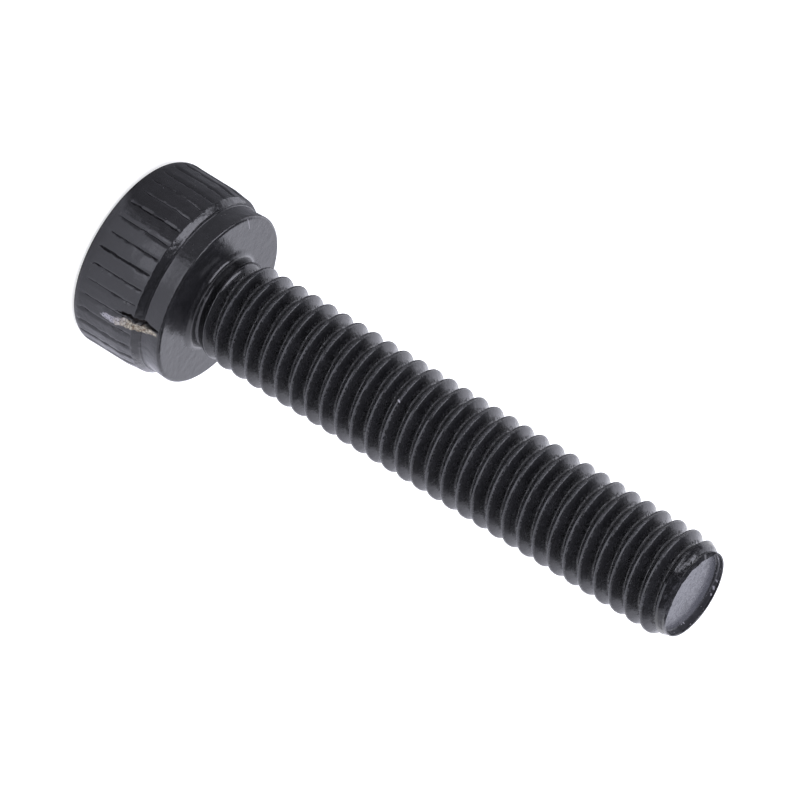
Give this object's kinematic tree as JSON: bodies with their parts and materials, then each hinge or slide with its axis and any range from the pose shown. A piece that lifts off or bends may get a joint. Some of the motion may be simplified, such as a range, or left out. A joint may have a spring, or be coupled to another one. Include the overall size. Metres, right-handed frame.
{
  "type": "hex socket cap screw",
  "caption": "Hexagon socket head cap screw in black oxide steel, with a straight-knurled cylindrical head, a plain collar under it and a shank threaded to the head.",
  "frame": {"origin": "centre of the bearing face, under the head, on the shank's axis", "axes": "+Z along the shank towards its end, so the head lies below the origin and the screw stands on the flat top of its head; X and Y are any two directions across the screw"},
  "size_m": [0.0054, 0.0054, 0.0186],
  "materials": {
    "black_oxide_steel": "black oxide, smooth satin with a slight oily sheen, rubbed a little lighter on its edges"
  },
  "bodies": {
    "root": {"cap_screw": "black_oxide_steel"}
  },
  "joints": []
}
